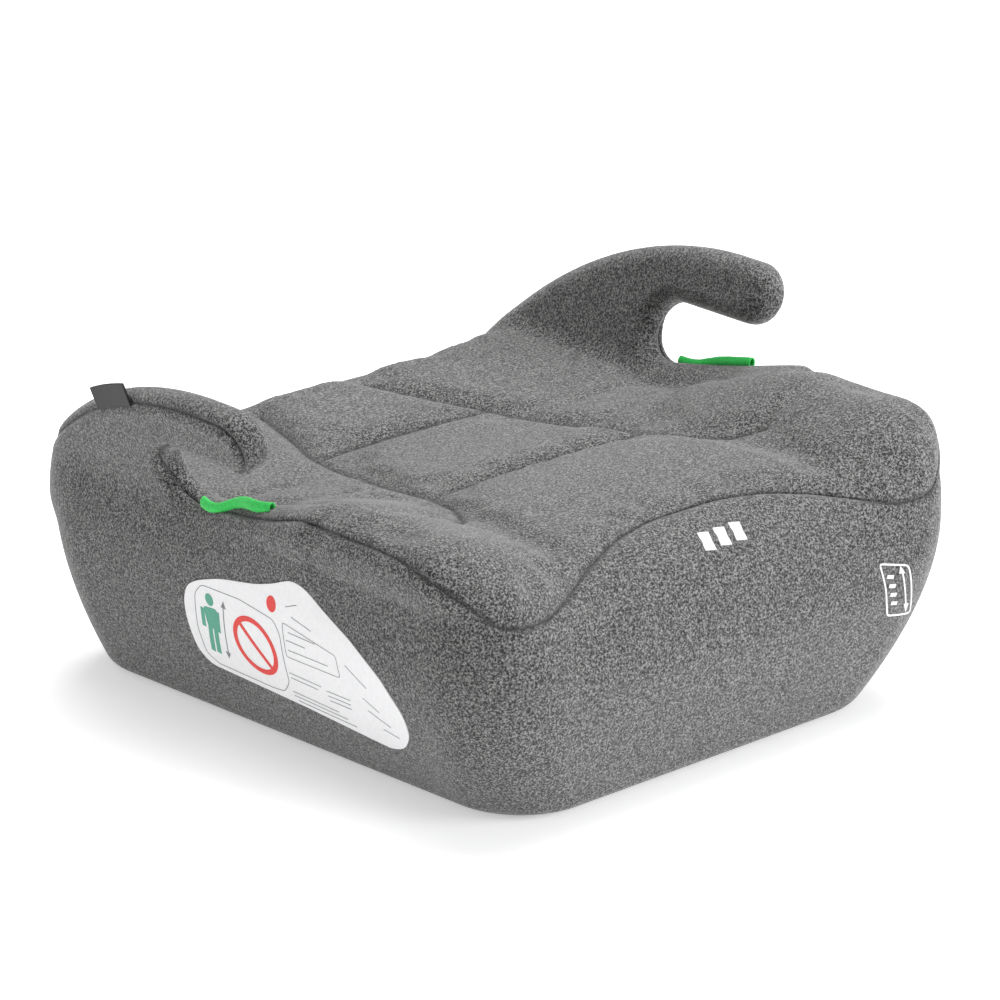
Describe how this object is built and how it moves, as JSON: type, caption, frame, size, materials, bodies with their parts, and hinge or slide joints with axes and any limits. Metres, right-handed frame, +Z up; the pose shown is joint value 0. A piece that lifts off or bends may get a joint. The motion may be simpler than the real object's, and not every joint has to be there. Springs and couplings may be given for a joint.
{
  "type": "booster seat",
  "caption": "Backless child booster seat with a padded knit cover, two hooked armrests that guide the lap belt, and a moulded body under it.",
  "frame": {"origin": "on the ground, under the middle of the seat's outer box", "axes": "+Z up, -Y towards the seat's front edge, +X towards the seated child's left"},
  "size_m": [0.4282, 0.4112, 0.2155],
  "materials": {
    "knit_fabric": "heather grey knit, brushed",
    "hem_binding": "woven binding",
    "elastic_band": "knitted elastic",
    "green_webbing": "bright woven tape",
    "label_print": "printed film, satin",
    "tag_ribbon": "satin ribbon",
    "pad_foam": "open-cell foam",
    "moulded_plastic": "fine grained moulding",
    "clip_plastic": "smooth moulding",
    "foot_rubber": "soft rubber",
    "screw_steel": "zinc plated"
  },
  "bodies": {
    "root": {"seat_shell": "moulded_plastic", "base_tray": "moulded_plastic", "arm_outer_left": "moulded_plastic", "arm_outer_right": "moulded_plastic", "arm_inner_left": "moulded_plastic", "arm_inner_right": "moulded_plastic", "tray_screws": "screw_steel", "arm_screws": "screw_steel", "deck_screws": "screw_steel", "foot_front_left": "foot_rubber", "foot_front_right": "foot_rubber", "foot_rear_left": "foot_rubber", "foot_rear_right": "foot_rubber", "hem_clips": "clip_plastic", "seat_foam": "pad_foam", "arm_foam_left": "pad_foam", "arm_foam_right": "pad_foam", "cover_seat_panel": "knit_fabric", "cover_arm_left": "knit_fabric", "cover_arm_right": "knit_fabric", "cover_skirt": "knit_fabric", "cover_back_panel": "knit_fabric", "cover_hem": "hem_binding", "hem_elastic": "elastic_band", "belt_guide_left": "green_webbing", "belt_guide_right": "green_webbing", "side_label": "label_print", "side_tag": "tag_ribbon"}
  },
  "joints": []
}
